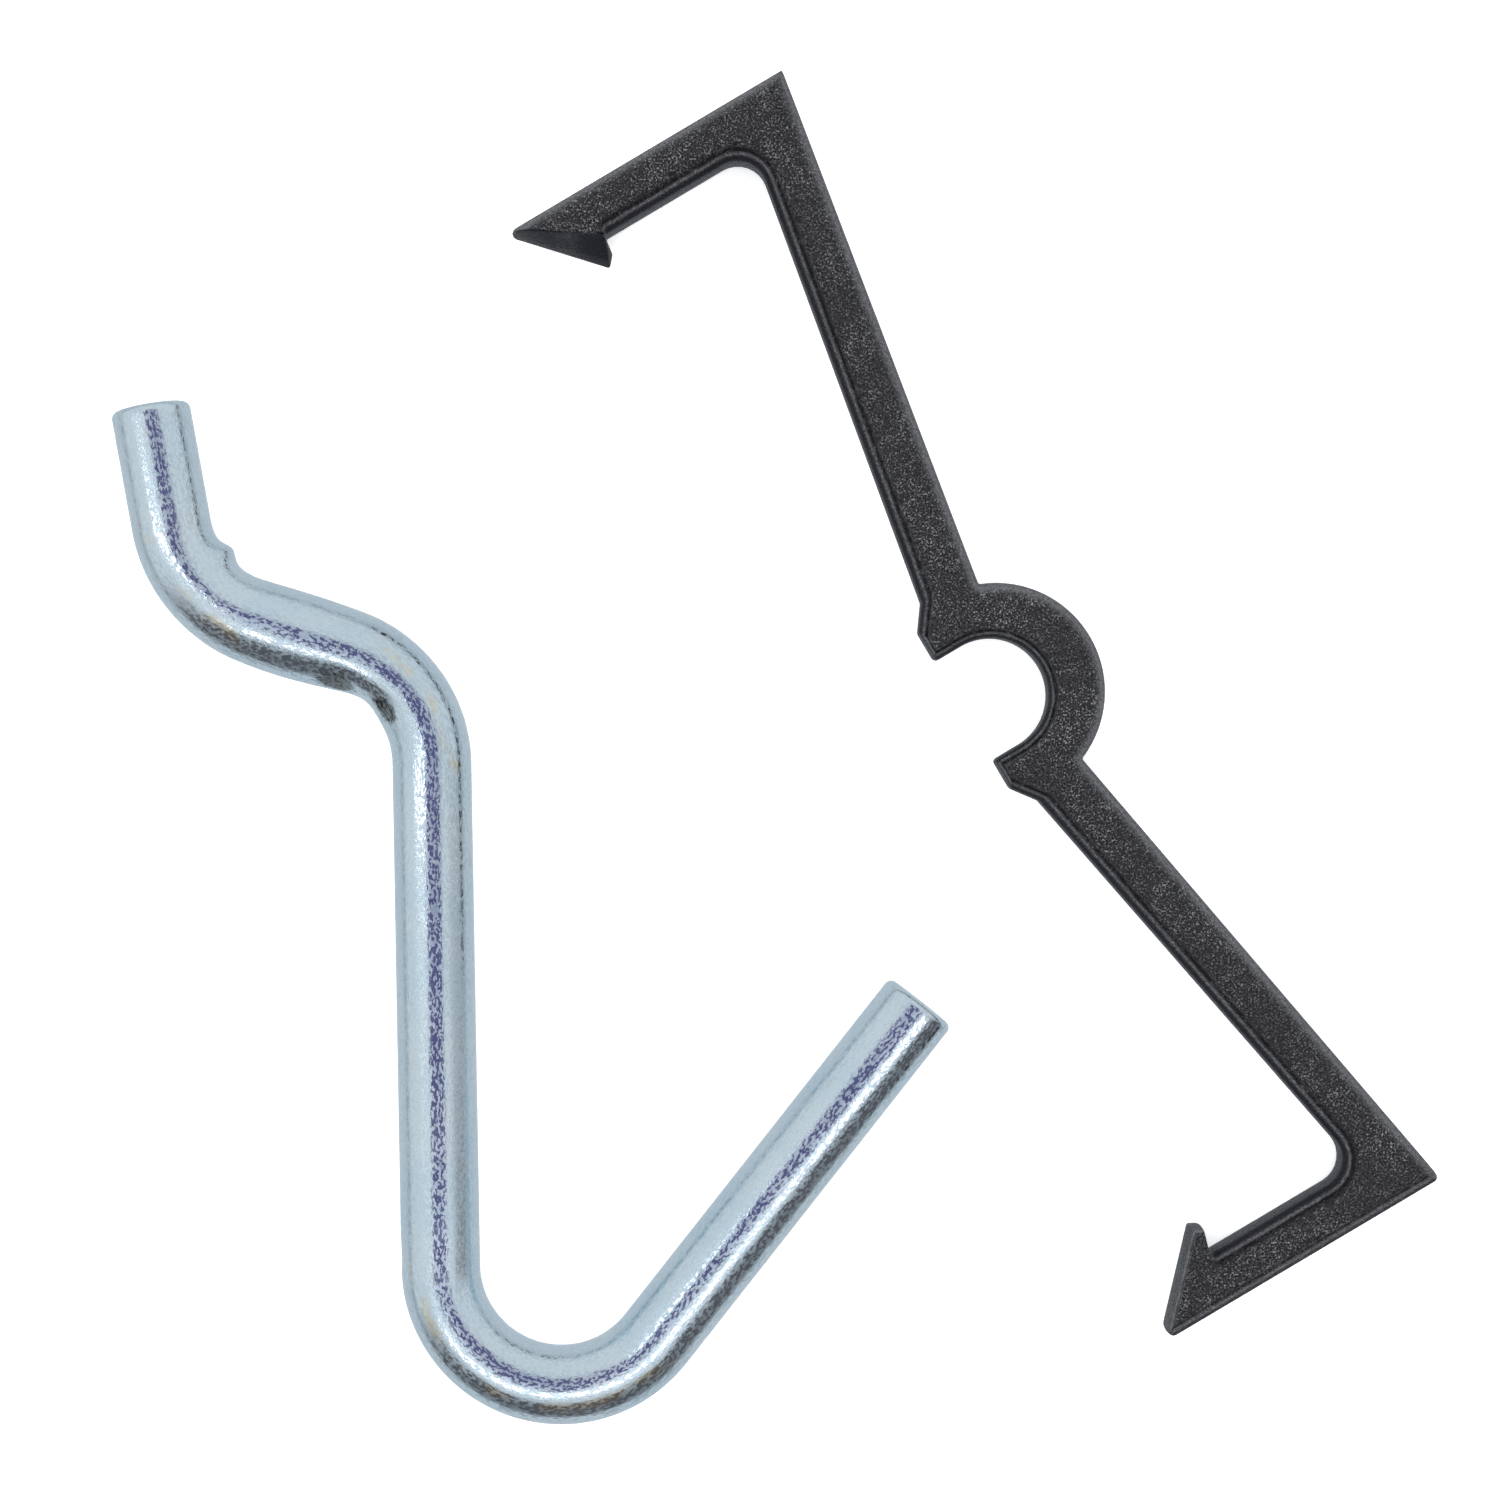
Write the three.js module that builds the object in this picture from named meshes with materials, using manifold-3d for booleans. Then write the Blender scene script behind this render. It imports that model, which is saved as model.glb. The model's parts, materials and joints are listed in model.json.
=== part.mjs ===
// Pegboard hook set: a bent steel wire hook and the moulded clip that locks it to the board.
// The two loose pieces lie flat, side by side. Millimetres, +Z up, origin at the middle of
// their footprint, on the surface that they lie on.

import * as THREE from "three";
import { mergeVertices } from "three/addons/utils/BufferGeometryUtils.js";
import Module from "manifold-3d";

const wasm = await Module();
wasm.setup();

// ---- Driving dimensions: lengths in mm, angles in degrees ----

const wire = {
  diameter: 3.4,
  bendRadius: 5.2, // centre line, all three bends
  pegLength: 8.3, // peg end to the sharp corner of the centre lines
  pegLean: 10.3, // from upright, away from the board
  throughLength: 11.2, // run through the board, corner to corner
  throughSlope: 18.4, // down towards the front
  stemLength: 40, // corner to corner
  stemLean: 1,
  armLength: 33.1, // bottom corner to the arm's end
  armLean: 38.2, // from upright, away from the stem
  sides: 16,
  steps: 110,
};

const ring = {
  outerRadius: 4.7,
  innerRadius: 2.45, // clears the wire, so the clip can slide down the stem
  innerDrop: 0.32, // the opening's arc is centred this far towards the board
};

const clip = {
  thickness: 3.2,
  draft: 0.12, // how far both faces are set in from the parting line
  land: 0.3, // height of the band at the parting line
  legSpan: 27.75, // ring centre to the outer face of each leg
  armTilt: 9.8, // the arms rise away from the board, so pressing them flat loads the barbs
  armWidthAtRing: 2.65,
  armWidthAtLeg: 2.42,
  cornerHeight: 5.75, // outer corner of arm and leg, over the ring centre
  legTip: -8.15,
  legWidth: 2.3,
  cornerFillet: 1.25,
  barbNose: [24.15, -4.9],
  barbHeel: [24.6, -4.3],
  barbNotchHeight: -4.5,
  footHeight: -1.65, // the feet that bear on the board
  footOuter: 3.9,
  neck: 4.95, // where the foot's slope meets the arm
};

// Where the moulding bends in use: beside the ring, and where each leg leaves its arm.
const flex = {
  gap: 0.3,
  armRoot: 5.7,
  legRoot: 0.9,
  legInnerLimit: 23, // everything further out and below legRoot belongs to the leg
};

const layout = {
  ringFromShoulder: [24.46, -0.57], // ring centre from the hook's upper corner
  clipTurn: -59.3,
};

const ARC_DIVISIONS = 14;
const PATH_DIVISIONS = 2000; // how finely the wire's path is measured, so its sections are evenly spaced
const WELD_DISTANCE = 1e-4;
const ZONE_REACH = 9; // the zones cut further out than the moulding goes, to both sides
const ZONE_MARGIN = 1; // and this far past its ends and its faces

// ---- Helpers ----

const radians = THREE.MathUtils.degToRad;

function stepFrom(point, heading, length) {
  const angle = radians(heading);
  return new THREE.Vector2(
    point.x + length * Math.cos(angle),
    point.y + length * Math.sin(angle),
  );
}

// Rounds the corner between the lines before-corner and corner-after onto the end of a path.
function addRoundedCorner(path, before, corner, after, radius) {
  const back = before.clone().sub(corner).normalize();
  const ahead = after.clone().sub(corner).normalize();
  const halfAngle = Math.acos(back.dot(ahead)) / 2;
  const middle = back.clone().add(ahead).normalize();
  const centre = middle.multiplyScalar(radius / Math.sin(halfAngle)).add(corner);
  const tangentLength = radius / Math.tan(halfAngle);
  const start = back.multiplyScalar(tangentLength).add(corner).sub(centre);
  const end = ahead.multiplyScalar(tangentLength).add(corner).sub(centre);
  const clockwise = start.cross(end) < 0;
  if (path.curves.length === 0) {
    // only a path that already has a piece is joined to the arc by itself
    path.lineTo(centre.x + start.x, centre.y + start.y);
  }
  path.absarc(centre.x, centre.y, radius, start.angle(), end.angle(), clockwise);
}

function toSolid(geometry) {
  const bare = geometry.clone();
  bare.deleteAttribute("normal");
  bare.deleteAttribute("uv");
  const merged = mergeVertices(bare, WELD_DISTANCE);
  return new wasm.Manifold(
    new wasm.Mesh({
      numProp: 3,
      vertProperties: new Float32Array(merged.attributes.position.array),
      triVerts: new Uint32Array(merged.index.array),
    }),
  );
}

function toGeometry(solid) {
  const { vertProperties, triVerts } = solid.getMesh();
  const geometry = new THREE.BufferGeometry();
  geometry.setAttribute("position", new THREE.BufferAttribute(vertProperties, 3));
  geometry.setIndex(new THREE.BufferAttribute(triVerts, 1));
  geometry.computeVertexNormals();
  return geometry;
}

function namedMesh(name, geometry, look) {
  const mesh = new THREE.Mesh(geometry, new THREE.MeshStandardMaterial(look));
  mesh.name = name;
  return mesh;
}

// ---- Wire hook ----

// A flat path lifted to one height, so that a section can be swept along it.
class LevelCurve extends THREE.Curve {
  constructor(path, height) {
    super();
    this.path = path;
    this.height = height;
    this.arcLengthDivisions = PATH_DIVISIONS;
  }

  getPoint(t) {
    const point = this.path.getPoint(t);
    return new THREE.Vector3(point.x, point.y, this.height);
  }
}

// From the peg's end, down and through the board, down the stem and up the arm.
// The upper corner, between the through run and the stem, is at 0, 0.
function hookCentreLine() {
  const shoulder = new THREE.Vector2(0, 0);
  const pegCorner = stepFrom(shoulder, 180 - wire.throughSlope, wire.throughLength);
  const pegEnd = stepFrom(pegCorner, 90 + wire.pegLean, wire.pegLength);
  const toe = stepFrom(shoulder, wire.stemLean - 90, wire.stemLength);
  const armEnd = stepFrom(toe, 90 - wire.armLean, wire.armLength);
  const path = new THREE.Path();
  path.moveTo(pegEnd.x, pegEnd.y);
  addRoundedCorner(path, pegEnd, pegCorner, shoulder, wire.bendRadius);
  addRoundedCorner(path, pegCorner, shoulder, toe, wire.bendRadius);
  addRoundedCorner(path, shoulder, toe, armEnd, wire.bendRadius);
  path.lineTo(armEnd.x, armEnd.y);
  return path;
}

// A polygon drawn round the wire's circle, with flats underneath, on top and at both sides.
function wireSection() {
  const cornerRadius = wire.diameter / 2 / Math.cos(Math.PI / wire.sides);
  const corners = [];
  for (let i = 0; i < wire.sides; i += 1) {
    const angle = ((i + 0.5) * 2 * Math.PI) / wire.sides;
    corners.push(new THREE.Vector2(Math.cos(angle), Math.sin(angle)).multiplyScalar(cornerRadius));
  }
  return new THREE.Shape(corners);
}

function wireHook() {
  const geometry = new THREE.ExtrudeGeometry(wireSection(), {
    steps: wire.steps,
    extrudePath: new LevelCurve(hookCentreLine(), wire.diameter / 2),
  });
  return namedMesh("wire_hook", geometry, { color: 0xb4c0c8, roughness: 0.35, metalness: 0.9 });
}

// ---- Locking clip ----
// Its own frame: ring centre at 0, 0; x along the clip; y away from the board.

// The outline of the half with x > 0, from the ring's crown outside, round to the crown inside.
function clipHalfOutline() {
  const rise = Math.tan(radians(clip.armTilt));
  const outerAtZero = clip.cornerHeight - clip.legSpan * rise;
  const legInner = clip.legSpan - clip.legWidth;

  // a point of the arm's inner edge: the arm narrows evenly from the neck to the leg
  const armInner = (x) => {
    const share = (x - clip.neck) / (legInner - clip.neck);
    const width = THREE.MathUtils.lerp(clip.armWidthAtRing, clip.armWidthAtLeg, share);
    return new THREE.Vector2(x, outerAtZero + rise * x - width * Math.hypot(1, rise));
  };

  // the arm's outer edge, y = outerAtZero + rise * x, meets the ring's outer circle
  const a = 1 + rise ** 2;
  const b = outerAtZero * rise;
  const c = outerAtZero ** 2 - ring.outerRadius ** 2;
  const joinX = (Math.sqrt(b ** 2 - a * c) - b) / a;
  const join = new THREE.Vector2(joinX, outerAtZero + rise * joinX);

  const notch = new THREE.Vector2(legInner, clip.barbNotchHeight);
  const innerCorner = armInner(legInner);
  const neck = armInner(clip.neck);

  const path = new THREE.Path();
  path.moveTo(0, ring.outerRadius);
  path.absarc(0, 0, ring.outerRadius, Math.PI / 2, join.angle(), true);
  path.lineTo(clip.legSpan, clip.cornerHeight);
  path.lineTo(clip.legSpan, clip.legTip);
  path.lineTo(...clip.barbNose);
  path.lineTo(...clip.barbHeel);
  path.lineTo(notch.x, notch.y);
  addRoundedCorner(path, notch, innerCorner, neck, clip.cornerFillet);
  path.lineTo(neck.x, neck.y);
  path.lineTo(clip.footOuter, clip.footHeight);
  path.lineTo(ring.innerRadius, clip.footHeight);
  path.lineTo(ring.innerRadius, -ring.innerDrop);
  path.absarc(0, -ring.innerDrop, ring.innerRadius, 0, Math.PI / 2, false);
  return path.getPoints(ARC_DIVISIONS);
}

// The whole moulding: its faces are set in by the draft on both sides of the parting line.
function clipMoulding() {
  const half = clipHalfOutline();
  const mirrored = half.slice(1, -1).reverse().map((p) => new THREE.Vector2(-p.x, p.y));
  const slope = (clip.thickness - clip.land) / 2;
  const geometry = new THREE.ExtrudeGeometry(new THREE.Shape([...half, ...mirrored]), {
    depth: clip.land,
    bevelThickness: slope,
    bevelSize: clip.draft,
    bevelOffset: -clip.draft,
    bevelSegments: 1,
  });
  return toSolid(geometry.translate(0, 0, slope));
}

// An upright block over an outline, deeper than the moulding, for cutting a zone out of it.
function zoneBlock(corners) {
  const outline = new THREE.Shape(corners.map(([x, y]) => new THREE.Vector2(x, y)));
  const depth = clip.thickness + 2 * ZONE_MARGIN;
  const geometry = new THREE.ExtrudeGeometry(outline, { depth, bevelEnabled: false });
  return toSolid(geometry.translate(0, 0, -ZONE_MARGIN));
}

function saddleZone() {
  const edge = flex.armRoot - flex.gap / 2;
  return zoneBlock([
    [-edge, -ZONE_REACH], [edge, -ZONE_REACH], [edge, ZONE_REACH], [-edge, ZONE_REACH],
  ]);
}

// side is 1 for the half with x > 0, and -1 for the other
function armZone(side) {
  const start = flex.armRoot + flex.gap / 2;
  const base = flex.legRoot + flex.gap / 2;
  const end = clip.legSpan + ZONE_MARGIN;
  const corners = [
    [start, -ZONE_REACH], [flex.legInnerLimit, -ZONE_REACH], [flex.legInnerLimit, base],
    [end, base], [end, ZONE_REACH], [start, ZONE_REACH],
  ];
  return zoneBlock(corners.map(([x, y]) => [side * x, y]));
}

function legZone(side) {
  const top = flex.legRoot - flex.gap / 2;
  const end = clip.legSpan + ZONE_MARGIN;
  const corners = [
    [flex.legInnerLimit, -ZONE_REACH], [end, -ZONE_REACH], [end, top], [flex.legInnerLimit, top],
  ];
  return zoneBlock(corners.map(([x, y]) => [side * x, y]));
}

function lockingClip() {
  const moulding = clipMoulding();
  const look = { color: 0x2a2b2e, roughness: 0.75, metalness: 0 };
  const zones = {
    saddle: saddleZone(),
    upper_arm: armZone(-1),
    lower_arm: armZone(1),
    upper_leg: legZone(-1),
    lower_leg: legZone(1),
  };
  const group = new THREE.Group();
  for (const [name, zone] of Object.entries(zones)) {
    group.add(namedMesh(name, toGeometry(moulding.intersect(zone)), look));
  }
  return group;
}

// ---- The two pieces laid out ----

const hookAndClip = new THREE.Group();
hookAndClip.add(wireHook());

const clipGroup = lockingClip();
clipGroup.position.set(...layout.ringFromShoulder, 0);
clipGroup.rotation.z = radians(layout.clipTurn);
hookAndClip.add(clipGroup);

const footprint = new THREE.Box3().setFromObject(hookAndClip, true);
const middle = footprint.getCenter(new THREE.Vector3());
hookAndClip.position.set(-middle.x, -middle.y, -footprint.min.z);

export default hookAndClip;
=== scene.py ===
"""Looks for the pegboard hook and its locking clip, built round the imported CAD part.

Lengths are in mm until a mesh is made: to_metres() is the one place where they turn into metres.
"""

import json
import math
from collections import namedtuple

import bpy
import numpy as np
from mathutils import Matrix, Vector, noise


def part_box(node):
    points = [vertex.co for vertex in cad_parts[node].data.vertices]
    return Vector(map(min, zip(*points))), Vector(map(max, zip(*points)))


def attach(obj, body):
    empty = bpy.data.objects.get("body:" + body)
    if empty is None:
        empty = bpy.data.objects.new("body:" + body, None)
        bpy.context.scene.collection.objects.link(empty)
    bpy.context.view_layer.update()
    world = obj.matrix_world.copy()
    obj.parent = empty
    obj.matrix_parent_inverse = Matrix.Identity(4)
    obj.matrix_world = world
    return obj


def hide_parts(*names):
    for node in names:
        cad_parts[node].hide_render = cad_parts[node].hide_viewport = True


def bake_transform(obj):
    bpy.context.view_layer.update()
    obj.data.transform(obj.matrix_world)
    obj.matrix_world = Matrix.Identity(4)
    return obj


MM = 0.001

# ---- Driving dimensions: mm and degrees, the same as the CAD part's ----

WIRE_RADIUS = 1.7
BEND_RADIUS = 5.2
PEG_LENGTH = 8.3
PEG_LEAN = 10.3
THROUGH_LENGTH = 11.2
THROUGH_SLOPE = 18.4
STEM_LENGTH = 40.0
STEM_LEAN = 1.0
ARM_LENGTH = 33.1
ARM_LEAN = 38.2

RIM_RADIUS = 4.7
BORE_RADIUS = 2.45
BORE_DROP = 0.32
CLIP_THICKNESS = 3.2
LEG_SPAN = 27.75
ARM_TILT = 9.8
ARM_WIDTH_AT_RING = 2.65
ARM_WIDTH_AT_LEG = 2.42
CORNER_HEIGHT = 5.75
LEG_TIP = -8.15
LEG_WIDTH = 2.3
BARB_NOTCH = -4.5
FOOT_HEIGHT = -1.65
FOOT_OUTER = 3.9
NECK = 4.95

# ---- How finely the meshes are cut ----

WIRE_STEP = 0.2
WIRE_SIDES = 72
END_RINGS = 10
CAP_RINGS = (0.8, 0.5, 0.2)  # rings that close the wire's end, as shares of its edge
CORNER_POINTS = 9
RIM_POINTS = 46
BORE_POINTS = 36
BENDING_STEP = 0.25
ARM_STEP = 0.16
ARM_END_POINTS = 54
STRETCH_COUNTS = {
    "leg_outer": 80, "ramp": 24, "barb_end": 4, "barb_under": 4,
    "leg_inner": 36, "foot_side": 6, "foot": 6, "bore_side": 8,
}


# ---- Plane geometry ----


def heading(degrees):
    angle = math.radians(degrees)
    return np.array([math.cos(angle), math.sin(angle)])


def right_of(direction):
    return np.array([direction[1], -direction[0]])


def smooth(value, low, high):
    t = np.clip((value - low) / (high - low), 0, 1)
    return t * t * (3 - 2 * t)


class Line:
    """A straight edge of an outline drawn clockwise, so the material is on its right."""

    def __init__(self, start, end):
        self.point = np.array(start, float)
        run = np.array(end, float) - self.point
        self.along = run / np.hypot(*run)

    def inset(self, distance):
        moved = self.point + distance * right_of(self.along)
        return Line(moved, moved + self.along)

    def nearest(self, place):
        return self.point + self.along * np.dot(place - self.point, self.along)


class Circle:
    """A round edge. inward is -1 where the material is inside it, and 1 where it is outside."""

    def __init__(self, centre, radius, inward):
        self.centre = np.array(centre, float)
        self.radius = radius
        self.inward = inward

    def inset(self, distance):
        return Circle(self.centre, self.radius + self.inward * distance, self.inward)

    def nearest(self, place):
        return self.centre + (place - self.centre) * self.radius / np.hypot(*(place - self.centre))

    def arc(self, start, end, count):
        """Points from one angle to another, in radians, with both ends."""
        angles = np.linspace(start, end, count)
        return self.centre + self.radius * np.stack([np.cos(angles), np.sin(angles)], axis=1)


def meet(first, second, guess):
    """Where two edges cross, at least one of them straight, at the crossing nearest to the guess."""
    if isinstance(first, Line) and isinstance(second, Line):
        across = right_of(second.along)
        gap = np.dot(second.point - first.point, across)
        return first.point + first.along * gap / np.dot(first.along, across)
    line, circle = (first, second) if isinstance(first, Line) else (second, first)
    foot = line.nearest(circle.centre)
    half = math.sqrt(circle.radius**2 - np.sum((foot - circle.centre) ** 2))
    ends = [foot + line.along * half, foot - line.along * half]
    return min(ends, key=lambda end: np.hypot(*(end - guess)))


def rounded_corner(first, second, guess, radius, count):
    """Points round the corner between two edges. A radius below 0 rounds a hollow corner."""
    centre = meet(first.inset(radius), second.inset(radius), guess)
    start = first.nearest(centre) - centre
    end = second.nearest(centre) - centre
    turn = math.atan2(start[0] * end[1] - start[1] * end[0], np.dot(start, end))
    begin = math.atan2(start[1], start[0])
    angles = begin + turn * np.linspace(0, 1, count)
    return centre + abs(radius) * np.stack([np.cos(angles), np.sin(angles)], axis=1)


# ---- Mesh helpers ----


def to_metres(points):
    return np.asarray(points, float) * MM


def make_object(name, vertices, faces, sharp_edges=()):
    mesh = bpy.data.meshes.new(name)
    mesh.from_pydata([tuple(v) for v in to_metres(vertices)], [], faces)
    mesh.update()
    mesh.shade_smooth()
    sharp = {frozenset(edge) for edge in sharp_edges}
    for edge in mesh.edges:
        if frozenset(edge.vertices) in sharp:
            edge.use_edge_sharp = True
    made = bpy.data.objects.new(name, mesh)
    bpy.context.scene.collection.objects.link(made)
    return made


def set_attribute(made, name, values):
    """Gives each vertex a number, or a place in mm, that the material reads."""
    values = np.asarray(values, float)
    kind, field = ("FLOAT", "value") if values.ndim == 1 else ("FLOAT_VECTOR", "vector")
    attribute = made.data.attributes.new(name, kind, "POINT")
    attribute.data.foreach_set(field, values.astype(np.float32).ravel())


# ---- Wire hook ----

END_ROUNDING = 0.32
BEND_FADE = 1.5  # how far past a bend its outer side is still marked as such

Mark = namedtuple("Mark", "place angle length width height stain")


def hook_corners():
    """The sharp corners of the wire's centre line, from the peg's end to the arm's end."""
    shoulder = np.zeros(2)
    peg_corner = shoulder + THROUGH_LENGTH * heading(180 - THROUGH_SLOPE)
    peg_end = peg_corner + PEG_LENGTH * heading(90 + PEG_LEAN)
    toe = shoulder + STEM_LENGTH * heading(STEM_LEAN - 90)
    arm_end = toe + ARM_LENGTH * heading(90 - ARM_LEAN)
    return [peg_end, peg_corner, shoulder, toe, arm_end]


def straight_run(start, end):
    count = max(2, round(np.hypot(*(end - start)) / WIRE_STEP))
    return start + np.linspace(0, 1, count, endpoint=False)[:, None] * (end - start)


def bend_between(first, second):
    """The arc that joins two straight centre lines, and which way it turns: 1 is left."""
    turns_left = first.along[0] * second.along[1] > first.along[1] * second.along[0]
    radius = -BEND_RADIUS if turns_left else BEND_RADIUS
    turn = math.acos(np.dot(first.along, second.along))
    count = round(BEND_RADIUS * turn / WIRE_STEP) + 1
    arc = rounded_corner(first, second, np.zeros(2), radius, count)
    return arc, (1 if turns_left else -1)


def centre_line():
    """The wire's centre line as points, the distance along it to each, and each bend's start, end
    and turn."""
    corners = hook_corners()
    lines = [Line(a, b) for a, b in zip(corners, corners[1:])]
    bends = [bend_between(a, b) for a, b in zip(lines, lines[1:])]
    points = []
    spans = []
    at = corners[0]
    for arc, turn in bends:
        run = straight_run(at, arc[0])
        first = sum(len(p) for p in points) + len(run)
        points += [run, arc[:-1]]
        spans.append((first, first + len(arc) - 1, turn))
        at = arc[-1]
    points += [straight_run(at, corners[-1]), corners[-1][None]]
    points = np.concatenate(points)
    steps = np.hypot(*np.diff(points, axis=0).T)
    reach = np.concatenate([[0], np.cumsum(steps)])
    return points, reach, [(reach[a], reach[b], turn) for a, b, turn in spans]


def hook_marks(spans):
    """Bulges, and dents with a height below 0, that the tools left. place is the distance along the
    wire. The angle in degrees goes round it, from its left side over the top."""
    peg, shoulder, bottom = spans
    peg_bend = 0.5 * (peg[0] + peg[1])
    through = 0.5 * (peg[1] + shoulder[0])
    return [
        Mark(through - 0.8, angle=180, length=3.2, width=1.3, height=0.3, stain=0),
        Mark(through + 0.6, angle=0, length=3.0, width=1.3, height=0.12, stain=0),
        Mark(peg_bend - 0.3, angle=5, length=0.8, width=0.8, height=0.38, stain=0),
        Mark(shoulder[0] + 0.1, angle=150, length=0.9, width=0.6, height=-0.13, stain=1),
        Mark(shoulder[0] + 3.2, angle=134, length=0.9, width=0.45, height=-0.14, stain=0.9),
        Mark(shoulder[0] + 1.9, angle=172, length=1.1, width=0.9, height=-0.14, stain=0),
        Mark(bottom[0] - 0.4, angle=190, length=0.7, width=0.8, height=-0.05, stain=0.3),
    ]


def hook_stations(reach):
    """Distances along the wire for its rings, closer together where the ends are rounded."""
    near = END_ROUNDING * (1 - np.cos(np.linspace(0, math.pi / 2, END_RINGS)))
    clear = END_ROUNDING * 1.1
    middle = reach[(reach > clear) & (reach < reach[-1] - clear)]
    return np.concatenate([near, middle, reach[-1] - near[::-1]])


def end_inset(stations):
    """How far the surface is set in near the wire's rounded ends."""
    distance = np.minimum(stations, stations[-1] - stations)
    into = np.clip(1 - distance / END_ROUNDING, 0, 1)
    return END_ROUNDING * (1 - np.sqrt(1 - into**2))


def marked_radius(stations, angles, spans):
    """The wire's radius at each station and angle, and how stained it is there."""
    radius = np.full((len(stations), WIRE_SIDES), WIRE_RADIUS)
    stain = np.zeros_like(radius)
    for mark in hook_marks(spans):
        turned = (angles - math.radians(mark.angle) + math.pi) % (2 * math.pi) - math.pi
        across = WIRE_RADIUS * turned / mark.width
        along = (stations - mark.place) / mark.length
        bump = np.exp(-(along[:, None] ** 2) - across[None] ** 2)
        radius += mark.height * bump
        stain += mark.stain * bump
    radius -= end_inset(stations)[:, None]
    return radius, stain


def outer_side(stations, angles, spans):
    """1 along the outer side of the bends, -1 along their inner side and 0 on the straight runs."""
    bent = np.zeros(len(stations))
    for start, end, turn in spans:
        rise = smooth(stations, start - BEND_FADE, start + 1)
        fall = smooth(stations, end - 1, end + BEND_FADE)
        bent -= turn * rise * (1 - fall)
    return bent[:, None] * np.cos(angles)[None]


def hook_rings():
    """The wire as rings of points, and what the zinc material reads at each: its place on the wire
    if that were straight, how stained it is and how far it is on the outer side of a bend."""
    points, reach, spans = centre_line()
    stations = hook_stations(reach)
    x = np.interp(stations, reach, points[:, 0])
    y = np.interp(stations, reach, points[:, 1])
    ahead = np.stack([np.gradient(x, stations), np.gradient(y, stations)], axis=1)
    ahead /= np.hypot(*ahead.T)[:, None]

    angles = np.arange(WIRE_SIDES) * 2 * math.pi / WIRE_SIDES
    radius, stain = marked_radius(stations, angles, spans)
    side = radius * np.cos(angles)
    up = radius * np.sin(angles)
    rings = np.stack([x[:, None] - ahead[:, 1:] * side, y[:, None] + ahead[:, :1] * side, up], axis=2)
    straight = np.stack([np.broadcast_to(stations[:, None], side.shape), side, up], axis=2)
    return rings, {"straight": straight, "stain": stain, "outer": outer_side(stations, angles, spans)}


def tube_faces(ring_count, sides):
    faces = []
    for ring in range(ring_count - 1):
        for k in range(sides):
            a = ring * sides + k
            b = ring * sides + (k + 1) % sides
            faces.append((a, a + sides, b + sides, b))
    return faces


def end_cap(vertices, faces, ring_start, sides, flip):
    """Closes the wire with smaller and smaller rings, so its cut face has an even mesh."""
    rim = vertices[ring_start : ring_start + sides]
    centre = rim.mean(0)
    edge = ring_start
    for share in CAP_RINGS:
        first = len(vertices)
        vertices = np.concatenate([vertices, centre + (rim - centre) * share])
        for k in range(sides):
            n = (k + 1) % sides
            quad = (edge + k, edge + n, first + n, first + k)
            faces.append(quad[::-1] if flip else quad)
        edge = first
    last = tuple(edge + k for k in range(sides))
    faces.append(last[::-1] if flip else last)
    return vertices


def centred_on_cad(points):
    """Moves the wire to the middle of its CAD solid, and holds its height to the solid's."""
    low, high = (np.array(corner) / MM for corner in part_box("wire_hook"))
    placed = points - (points.max(0) + points.min(0)) / 2 + (low + high) / 2
    placed[:, 2] = np.clip(placed[:, 2], low[2], high[2])
    return placed


def build_hook():
    rings, attributes = hook_rings()
    count, sides = rings.shape[:2]
    faces = tube_faces(count, sides)
    vertices = centred_on_cad(rings.reshape(-1, 3))
    attributes = {name: values.reshape(-1, *values.shape[2:]) for name, values in attributes.items()}
    for start, flip in ((0, False), ((count - 1) * sides, True)):
        vertices = end_cap(vertices, faces, start, sides, flip)
        for name, values in attributes.items():
            rim = values[start : start + sides]
            attributes[name] = np.concatenate([values] + [rim] * len(CAP_RINGS))
    hook = make_object("hook_wire", vertices, faces)
    for name, values in attributes.items():
        set_attribute(hook, name, values)
    return hook


# ---- Locking clip ----
# Its own frame: ring centre at 0, 0; x along the clip; y away from the board.

# Each level up from the parting line: how far in from the outline and how high above the middle,
# for a plain rounded edge and for an edge with a bead, a crevice and a raised lip.
ROUND_EDGE = [
    (0.00, 0.00), (0.00, 0.15), (0.05, 0.60), (0.08, 0.90), (0.11, 1.10), (0.16, 1.25), (0.22, 1.36),
    (0.29, 1.44), (0.36, 1.50), (0.43, 1.54), (0.50, 1.57), (0.58, 1.588), (0.68, 1.598), (0.78, 1.60),
]
BEADED_EDGE = [
    (0.00, 0.00), (0.00, 0.15), (0.02, 0.60), (0.04, 0.84), (0.11, 0.95), (0.20, 1.02), (0.30, 1.10),
    (0.38, 1.08), (0.45, 0.98), (0.51, 1.02), (0.56, 1.34), (0.62, 1.52), (0.71, 1.59), (0.80, 1.60),
]
BEAD_LEVEL = 6.4
CREVICE_LEVEL = 8.3

# How beaded each edge is, from 0 to 1, and what share of the full inset it has room for.
BEADING = {
    "rim": 0.1, "arm_outer": 0.15, "leg_outer": 0.3, "ramp": 0.35, "barb_end": 0.0, "barb_under": 0.2,
    "leg_inner": 1.0, "arm_inner": 1.0, "foot_side": 1.0, "foot": 0.7, "bore_side": 1.0, "bore": 1.0,
}
ROOM = {
    "rim": 1.0, "arm_outer": 1.0, "leg_outer": 1.0, "ramp": 0.3, "barb_end": 0.12, "barb_under": 0.12,
    "leg_inner": 1.0, "arm_inner": 1.0, "foot_side": 0.8, "foot": 0.5, "bore_side": 0.7, "bore": 0.7,
}

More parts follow.
